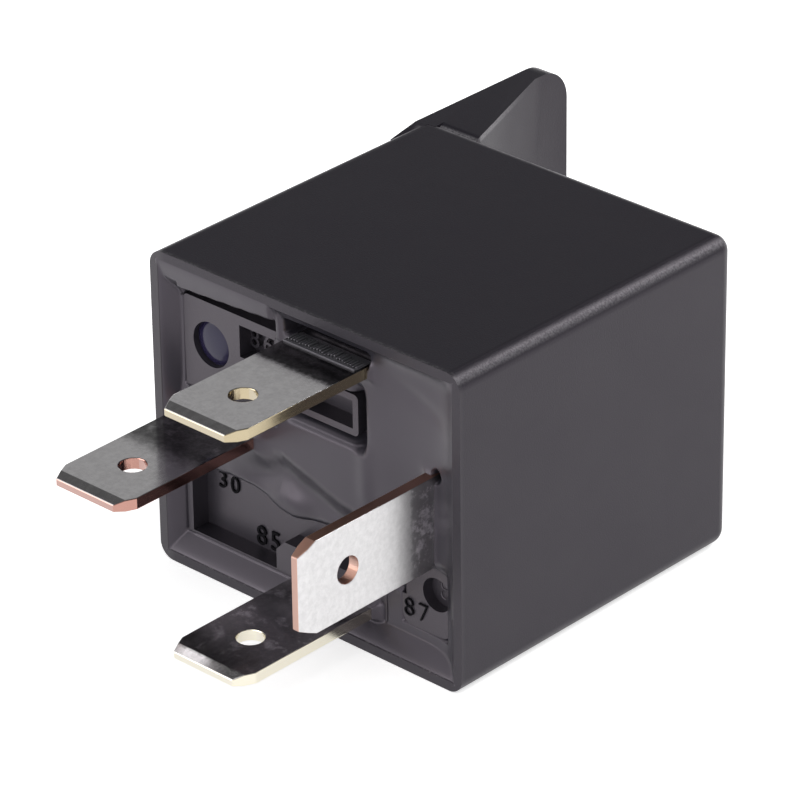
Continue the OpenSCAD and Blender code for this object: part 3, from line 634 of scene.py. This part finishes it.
def openSurface(x, z):
    # nearly flat, with a shallow dish, a soft crease and a dent on the right
    y = 0.64 + 0.07 * noise.noise(Vector((x * 0.30, z * 0.30, 3.1)))
    y += 0.16 * bell(x - 8.2, 2.6) * ease(9.0, 12.0, z)
    y -= 0.12 * bell(x - 4.5, 0.6) * ease(8.5, 11.0, z) * ease(14.4, 13.6, z)
    y += 0.12 * bell(math.hypot((x - 9.0) / 1.9, (z - 18.7 + 0.25 * (x - 9.0)) / 0.6), 1.0)
    # groove beside and under the middle frame
    y += 0.85 * bell(x - 4.14, 0.36) * ease(13.2, 14.0, z) * ease(18.6, 17.2, z)
    y += 0.22 * bell(z - 13.75, 0.25) * ease(-2.4, -1.4, x) * ease(4.6, 3.8, x)
    return y


def flushWithIslands(x, z, y):
    flush = max(ease(-10.2, -10.9, x), ease(2.5, 1.9, z), ease(0.9, 0.1, boxGap(x, z, resin["open"][2])),
                ease(5.4, 4.4, z) * ease(5.0, 5.8, x))
    return y + (resin["flush"] - y) * flush


def lobeEdge(x):
    return along(resin["lobe"], x) + 0.04 * noise.noise(Vector((x * 1.6, 0.4, 1.7)))


def overPocket(x, z, y):
    # lobes that run over the pocket's floor
    edge = lobeEdge(x)
    if boxGap(x, z, resin["pocket"]) >= 0 or z <= edge:
        return y
    aboveValley = z - along(resin["valley"], x)
    knob = 1.25 + 0.04 * noise.noise(Vector((x * 0.6, z * 0.6, 5.2)))
    knob -= 0.22 * bell(math.hypot((x + 3.0) * 0.8, (z - 7.5) * 0.9), 1.5)
    knob += 0.18 * bell(math.hypot(x + 0.4, z - 6.9), 1.1)
    knob -= 0.12 * bell(math.hypot(x - 1.2, z - 7.2), 0.8)
    knob -= 0.35 * ease(-4.2, -7.4, x)
    bed = 1.0 + 0.55 * ease(-7.6, -4.6, x) * ease(6.4, 3.0, x)
    bank = knob + (bed - knob) * ease(-1.9, 0.1, aboveValley)
    bank += (y - bank) * ease(-0.2, 2.2, aboveValley)
    return resin["pocketDepth"] - (resin["pocketDepth"] - bank) * (1 - math.exp(-(z - edge) / 0.30))


def upTheBlades(x, z, y):
    for x0, z0, x1, z1, climb, reach in resin["blades"]:
        y -= climb * math.exp(-max(boxGap(x, z, (x0, z0, x1, z1)), 0) / reach)
    return y


def upperBand(x, z, y):
    # the band over the upper island, with a lip above the island's groove
    if z <= 18.9 or x >= -2.2:
        return y
    lip = 19.75 + 0.48 * (x + 11.1) / 7.5
    top = 0.02 + 0.16 * (21.5 - z)
    top = y + (top - y) * max(ease(18.9, 20.4, z), ease(-11.3, -10.9, x))
    y = top + (resin["back"] - top) * ease(0.06, -0.22, z - lip) * ease(-11.12, -10.95, x)
    return y + (0.45 - y) * ease(-2.9, -2.55, x) * ease(-1.9, -2.2, x)


def wellAndBlowHole(x, z, y):
    # well over the upper blade, and the blow hole at the side blade
    y += 1.7 * ease(0.30, 0.02, boxGap(x, z, resin["well"]))
    holeX, holeZ = resin["blowHole"]
    return y + 1.3 * ease(0.42, 0.15, math.hypot(x - holeX, (z - holeZ) * 0.8))


def upTheWalls(x, z, y):
    # hollow on the right and at the top, swollen on the left and at the bottom
    for gap, reach in ((resin["right"] - 0.35 - x, 0.95), (resin["high"] - 0.3 - z, 0.6)):
        y *= 1 - math.exp(-(max(gap, 0) / reach) ** 1.25)
    y = smoothMin(y, resin["flush"] * (max(x + 12.45, 0) / 1.06) ** 1.5, 0.08)
    y = smoothMin(y, resin["flush"] * (max(z - 0.5, 0) / 1.5) ** 1.35, 0.08)
    fromEdge = min(x - resin["left"], resin["right"] - x, z - resin["low"], resin["high"] - z)
    return y + resin["rim"] + 0.15 * ease(0.32, 0.1, fromEdge)


def aroundOpenings(x, z, y):
    # steps back behind the islands and behind the pocket's floor
    for box in resin["open"]:
        gap = boxGap(x, z, box)
        if gap < 0:
            y += (resin["back"] - y) * ease(0.0, -0.1, gap)
    onFloor = boxGap(x, z, resin["pocket"]) < 0 and z <= lobeEdge(x)
    return resin["back"] if onFloor or boxGap(x, z, resin["dam"]) < 0 else y


def lowerBladeBlock(x, z, y):
    # block of resin at the foot of the lower blade
    near = max(boxGap(x, z, resin["blades"][1][:4]), 0)
    if near >= 0.8 or x <= -2.9:
        return y
    return min(y, 1.12 - 0.8 * math.exp(-near / 0.4) + 2.0 * ease(0.55, 0.8, near))


def resinDepth(x, z):
    y = openSurface(x, z)
    for shape in (flushWithIslands, overPocket, upTheBlades, upperBand, wellAndBlowHole, upTheWalls,
                  aroundOpenings, lowerBladeBlock):
        y = shape(x, z, y)
    return min(y, resin["back"])


def intoCorner(x, z):
    # pulls the skin's square corners on to the cover's rounded ones
    corner, middle = resin["corner"], midZ / mm
    overX = max(abs(x) - (resin["right"] - corner), 0)
    overZ = max(abs(z - middle) - (resin["high"] - middle - corner), 0)
    over = math.hypot(overX, overZ)
    if over > corner:
        pull = 1 - corner / over
        x = math.copysign(abs(x) - overX * pull, x)
        z = middle + math.copysign(abs(z - middle) - overZ * pull, z - middle)
    return x, z


pottingResin = resinMaterial()
setMaterial(nodes["sealant"], pottingResin)
deselectAll()
bpy.ops.mesh.primitive_grid_add(x_subdivisions=resin["steps"][0], y_subdivisions=resin["steps"][1], size=1)
skin = bpy.context.active_object
skin.name = "resinSkin"
skinWidth, skinHeight = resin["right"] - resin["left"], resin["high"] - resin["low"]
for v in skin.data.vertices:
    x, z = intoCorner(resin["left"] + (v.co.x + 0.5) * skinWidth, resin["low"] + (v.co.y + 0.5) * skinHeight)
    v.co = (x * mm, rimY + resinDepth(x, z) * mm, z * mm)
makeActive(skin)
bpy.ops.object.mode_set(mode="EDIT")
bpy.ops.mesh.select_all(action="SELECT")
bpy.ops.mesh.extrude_region_move(TRANSFORM_OT_translate={"value": (0, resin["thickness"] * mm, 0)})
bpy.ops.mesh.select_mode(type="FACE")
bpy.ops.mesh.select_all(action="DESELECT")
bpy.ops.object.mode_set(mode="OBJECT")
flatLevels = [rimY + depth * mm for depth in (resin["back"], resin["back"] + resin["thickness"])]
for face in skin.data.polygons:
    face.select = any(abs(face.center.y - level) < 0.0001 * mm for level in flatLevels)
bpy.ops.object.mode_set(mode="EDIT")
bpy.ops.mesh.dissolve_limited(angle_limit=math.radians(1))  # flat parts behind the base's floors
bpy.ops.mesh.select_mode(type="VERT")
bpy.ops.mesh.select_all(action="SELECT")
bpy.ops.mesh.normals_make_consistent(inside=False)
bpy.ops.object.mode_set(mode="OBJECT")
bpy.ops.object.shade_smooth()
setMaterial(skin, pottingResin)
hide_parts("sealant")
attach(skin, "relay")
print("relay: resin", len(skin.data.polygons), "faces")

# wrinkled edge of the resin on the upper blade, coloured lighter than the resin as a painted sheen
comb = {
    # color and dark hold the painted sheen of the ribs, lighter than the resin's own colour
    "color": (0.10, 0.10, 0.11), "dark": (0.06, 0.06, 0.065), "roughness": 0.25, "grain": 0.02, "gloss": 1.0,
    "left": -0.95, "right": 4.95, "front": -0.45, "back": 0.55, "top": 19.8, "sink": 0.02, "skin": 0.05,
    "ribs": 25, "ribHeight": 0.2, "ribSetBack": 0.2, "waver": 0.1, "beadHeight": 0.13, "edgeWidth": 0.045,
}
combResinPaintedSheen = plasticMaterial("combResinPaintedSheen", comb)


def addBox(name, low, high):
    # box between two corners, in mm with y from the rim
    deselectAll()
    bpy.ops.mesh.primitive_cube_add(size=1)
    box = bpy.context.active_object
    box.name = name
    box.scale = [(b - a) * mm for a, b in zip(low, high)]
    middle = [(a + b) / 2 * mm for a, b in zip(low, high)]
    box.location = (middle[0], rimY + middle[1], middle[2])
    placeInMesh(box)
    return box


underside = comb["top"] - comb["sink"]
combParts = [
    addBox("resinComb", (comb["left"], comb["front"], underside),
           (comb["right"], comb["back"] + 0.5, comb["top"] + comb["skin"])),
    addBox("bead", (comb["left"] - 0.05, comb["front"] - 0.12, underside),
           (comb["right"], comb["front"] + 0.06, comb["top"] + comb["beadHeight"]))]
ribPitch = (comb["right"] - comb["left"]) / comb["ribs"]
for i in range(comb["ribs"]):
    x = comb["left"] + (i + 0.25) * ribPitch
    wobble = noise.noise(Vector((i * 0.7, 2.3, 0.4)))
    combParts.append(addBox(
        "rib", (x, comb["front"] + comb["ribSetBack"] + comb["waver"] * wobble, comb["top"]),
        (x + 0.5 * ribPitch, comb["back"] + 0.25 * wobble,
         comb["top"] + comb["ribHeight"] + comb["waver"] * wobble)))
combPiece = joinParts(combParts)
softenEdges(combPiece, comb["edgeWidth"], 3, 40)
setMaterial(combPiece, combResinPaintedSheen)
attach(combPiece, "relay")
print("relay: resin comb")

# metals and nylon of the mechanism inside
bobbinLook = {"color": (0.66, 0.62, 0.52), "dark": (0.58, 0.54, 0.45), "roughness": 0.45, "grain": 0.02,
              "gloss": 0.5}
metals = {  # colour, roughness and how the scratches run
    "zincSteel": ((0.62, 0.63, 0.66), 0.32, (1.0, 0.1, 1.0)),
    "rivetSteel": ((0.70, 0.70, 0.72), 0.25, (1.0, 1.0, 1.0)),
    "springBronze": ((0.72, 0.52, 0.30), 0.28, (0.1, 1.0, 1.0)),
    "contactSilver": ((0.88, 0.87, 0.85), 0.22, (1.0, 1.0, 1.0)),
    "solderTin": ((0.74, 0.75, 0.77), 0.2, (1.0, 1.0, 1.0)),
    "copperWire": ((0.55, 0.22, 0.10), 0.3, (1.0, 1.0, 1.0)),
}
insideMetals = {
    "yoke": "zincSteel", "core": "zincSteel", "armature": "zincSteel", "yoke_rivet": "rivetSteel",
    "armature_rivets": "rivetSteel", "spring_rivets": "rivetSteel", "winding": "copperWire",
    "coil_leads": "copperWire", "solder_joints": "solderTin", "contact_spring": "springBronze",
    "moving_contact": "contactSilver", "fixed_contact": "contactSilver",
}
metalMaterials = {name: metalMaterial(name, *values) for name, values in metals.items()}
for nodeName, metalName in insideMetals.items():
    setMaterial(nodes[nodeName], metalMaterials[metalName])
setMaterial(nodes["bobbin"], plasticMaterial("bobbinNylon", bobbinLook))
print("relay: mechanism's materials set")

# contact spring, cut across at even steps along its length; places are in mm from the hinge
springLeaf = {"edgeWidth": 0.02, "smoothAngle": 31, "cutPitch": 0.4, "cuts": range(-12, 10),
              "bendStart": (-0.15, -1.4), "bendEnd": (1.3, 1.55)}
hinge = Vector(frame["joints"][0]["pos_m"])
spring = mergedCopy("contact_spring", "springLeaf")
softenEdges(spring, springLeaf["edgeWidth"], 1, springLeaf["smoothAngle"])
makeActive(spring)
bpy.ops.object.mode_set(mode="EDIT")
bpy.ops.mesh.select_all(action="SELECT")
bpy.ops.mesh.quads_convert_to_tris()
for i in springLeaf["cuts"]:
    cutY = hinge.y + i * springLeaf["cutPitch"] * mm
    bpy.ops.mesh.select_all(action="SELECT")
    bpy.ops.mesh.bisect(plane_co=(hinge.x, cutY, 0), plane_no=(0, 1, 0))
bpy.ops.object.mode_set(mode="OBJECT")
setMaterial(spring, metalMaterials["springBronze"])
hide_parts("contact_spring")
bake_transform(spring)
print("relay: spring leaf", len(spring.data.polygons), "faces")

# floor, world, lamps and camera; lamps are power, size, place and a second size for a strip
studio = {
    "floorColor": (0.94, 0.94, 0.94), "floorGlow": 0.6, "floorSize": 6, "floorDrop": 0.02,
    "worldLevel": 0.62, "upperReflection": 0.37, "topReflection": 0.25, "aim": (0, 0, 0.01),
    "lamps": {
        "keyLamp": (0.4, 0.35, (0.15, -0.25, 0.55), None),
        "fillLamp": (0.35, 0.5, (-0.38, -0.30, 0.36), None),
        "frontLamp": (1.5, 1.1, (-0.03, -0.49, 0.065), 0.12),
        "backLamp": (1.9, 0.26, (0.17, 0.45, 0.37), None),
    },
}
view = {"azimuth": 43.309, "elevation": 28.342, "roll": -0.806, "distance": 322.76, "lens": 229.18,
        "target": (-3.142, -0.7, 9.912)}


def paperMaterial():
    # white paper that looks white to the camera and in reflections, whatever the lamps give
    material, tree, shader, coordinates = newMaterial("floorPaper", Roughness=0.9, Specular_IOR_Level=0.0)
    shader.inputs["Base Color"].default_value = (*studio["floorColor"], 1)
    lightPath = tree.nodes.new("ShaderNodeLightPath")
    seen = mathNode(tree, "MAXIMUM", lightPath.outputs["Is Camera Ray"], lightPath.outputs["Is Glossy Ray"])
    glow = tree.nodes.new("ShaderNodeEmission")
    glow.inputs["Color"].default_value = (1, 1, 1, 1)
    link(tree, multiply(tree, seen, studio["floorGlow"]), glow.inputs["Strength"])
    both = tree.nodes.new("ShaderNodeAddShader")
    link(tree, shader.outputs[0], both.inputs[0])
    link(tree, glow.outputs[0], both.inputs[1])
    link(tree, both.outputs[0], nodeOf(material, "OUTPUT_MATERIAL").inputs["Surface"])
    return material


def studioWorld():
    # white to the camera, and darker upwards and behind for what shines
    world = bpy.data.worlds.new("studioWorld")
    world.use_nodes = True
    tree = world.node_tree
    tree.nodes.clear()
    output = tree.nodes.new("ShaderNodeOutputWorld")
    background = tree.nodes.new("ShaderNodeBackground")
    lightPath = tree.nodes.new("ShaderNodeLightPath")
    direction = tree.nodes.new("ShaderNodeTexCoord")
    x, y, z = splitVector(tree, direction.outputs["Generated"])
    sky = multiply(tree, rampNode(tree, z, 0.0, 0.18, 1.0, studio["upperReflection"]),
                   rampNode(tree, z, 0.50, 0.66, 1.0, studio["topReflection"]))
    sky = mathNode(tree, "MAXIMUM", sky, rampNode(tree, y, -0.35, -0.05, 1.0, 0.0))
    glossy = lightPath.outputs["Is Glossy Ray"]
    plain = multiply(tree, mathNode(tree, "SUBTRACT", 1.0, glossy), studio["worldLevel"])
    strength = mathNode(tree, "ADD", multiply(tree, glossy, sky), plain)
    strength = mathNode(tree, "MAXIMUM", strength, lightPath.outputs["Is Camera Ray"])
    link(tree, strength, background.inputs["Strength"])
    link(tree, background.outputs[0], output.inputs["Surface"])
    return world


def addLamp(name, power, size, place, stripSize):
    data = bpy.data.lights.new(name, "AREA")
    data.energy = power
    data.size = size
    if stripSize:
        data.shape = "RECTANGLE"
        data.size_y = stripSize
    lamp = bpy.data.objects.new(name, data)
    bpy.context.scene.collection.objects.link(lamp)
    lamp.location = place
    lamp.rotation_euler = (Vector(studio["aim"]) - Vector(place)).to_track_quat("-Z", "Y").to_euler()


def addCamera():
    azimuth, elevation, roll = (math.radians(view[k]) for k in ("azimuth", "elevation", "roll"))
    towards = Vector((math.sin(azimuth) * math.cos(elevation), -math.cos(azimuth) * math.cos(elevation),
                      math.sin(elevation)))
    camera = bpy.data.objects.new("camera", bpy.data.cameras.new("camera"))
    bpy.context.scene.collection.objects.link(camera)
    camera.data.lens = view["lens"]
    camera.data.sensor_width = 36
    camera.data.clip_start = 0.01
    camera.location = Vector(view["target"]) * mm + towards * view["distance"] * mm
    upright = (-towards).to_track_quat("-Z", "Y").to_matrix()
    camera.rotation_euler = (upright @ Matrix.Rotation(roll, 3, "Z")).to_euler()
    return camera


deselectAll()
bpy.ops.mesh.primitive_plane_add(size=studio["floorSize"], location=(0, 0, -studio["floorDrop"] * mm))
floor = bpy.context.active_object
floor.name = "floor"
placeInMesh(floor)
setMaterial(floor, paperMaterial())
bpy.context.scene.world = studioWorld()
for name, values in studio["lamps"].items():
    addLamp(name, *values)
bpy.context.scene.camera = addCamera()
bpy.context.scene.view_settings.view_transform = "Standard"
print("relay: studio set")
